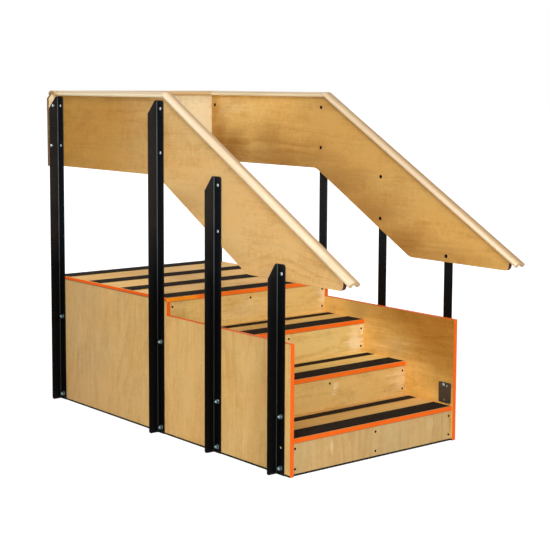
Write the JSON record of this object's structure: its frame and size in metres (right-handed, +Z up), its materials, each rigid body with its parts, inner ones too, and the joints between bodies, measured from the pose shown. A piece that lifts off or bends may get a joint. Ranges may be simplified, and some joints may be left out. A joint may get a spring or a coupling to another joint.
{
  "type": "free-standing staircase",
  "caption": "Free-standing plywood staircase that climbs to a platform, with black steel angle posts, solid rail panels at the sides and back, and rounded wooden cap handrails.",
  "frame": {"origin": "on the floor, under the middle of the whole staircase with its handrails", "axes": "+X to the right and +Y away from someone who faces the steps, +Z up"},
  "size_m": [1.036, 2.1438, 1.5],
  "materials": {
    "plywood": "clear varnished birch plywood",
    "solid_wood": "pale planed hardwood, satin varnish",
    "orange_edge": "orange edge banding, satin",
    "black_steel": "black powder coat, satin",
    "grip_strip": "gritty anti-slip strip, matt",
    "base_rubber": "black rubber strip, matt",
    "zinc_steel": "bright zinc plated",
    "plate_steel": "dark brown coated steel, satin"
  },
  "bodies": {
    "root": {"back_base_strip": "base_rubber", "back_cap": "solid_wood", "back_rail_panel": "plywood", "back_wall": "plywood", "centre_rib": "plywood", "deck_edge_band": "orange_edge", "deck_grip_1": "grip_strip", "deck_grip_2": "grip_strip", "deck_grip_3": "grip_strip", "deck_grip_4": "grip_strip", "front_base_strip": "base_rubber", "left_backing_plate": "plate_steel", "left_base_strip": "base_rubber", "left_bend_post": "black_steel", "left_bend_post_bolt": "zinc_steel", "left_carriage": "solid_wood", "left_edge_band": "orange_edge", "left_front_post": "black_steel", "left_front_post_bolt": "zinc_steel", "left_level_cap": "solid_wood", "left_lower_post": "black_steel", "left_lower_post_bolt": "zinc_steel", "left_rail_panel": "plywood", "left_rear_post": "black_steel", "left_rear_post_bolt": "zinc_steel", "left_side_panel": "plywood", "left_sloping_cap": "solid_wood", "platform_deck": "plywood", "right_backing_plate": "plate_steel", "right_base_strip": "base_rubber", "right_bend_post": "black_steel", "right_bend_post_bolt": "zinc_steel", "right_carriage": "solid_wood", "right_edge_band": "orange_edge", "right_front_post": "black_steel", "right_front_post_bolt": "zinc_steel", "right_level_cap": "solid_wood", "right_lower_post": "black_steel", "right_lower_post_bolt": "zinc_steel", "right_rail_panel": "plywood", "right_rear_post": "black_steel", "right_rear_post_bolt": "zinc_steel", "right_side_panel": "plywood", "right_sloping_cap": "solid_wood", "riser_1": "plywood", "riser_2": "plywood", "riser_3": "plywood", "riser_4": "plywood", "tread_1": "plywood", "tread_1_band": "orange_edge", "tread_1_grip_narrow": "grip_strip", "tread_1_grip_wide": "grip_strip", "tread_2": "plywood", "tread_2_band": "orange_edge", "tread_2_grip_narrow": "grip_strip", "tread_2_grip_wide": "grip_strip", "tread_3": "plywood", "tread_3_band": "orange_edge", "tread_3_grip_narrow": "grip_strip", "tread_3_grip_wide": "grip_strip"}
  },
  "joints": []
}
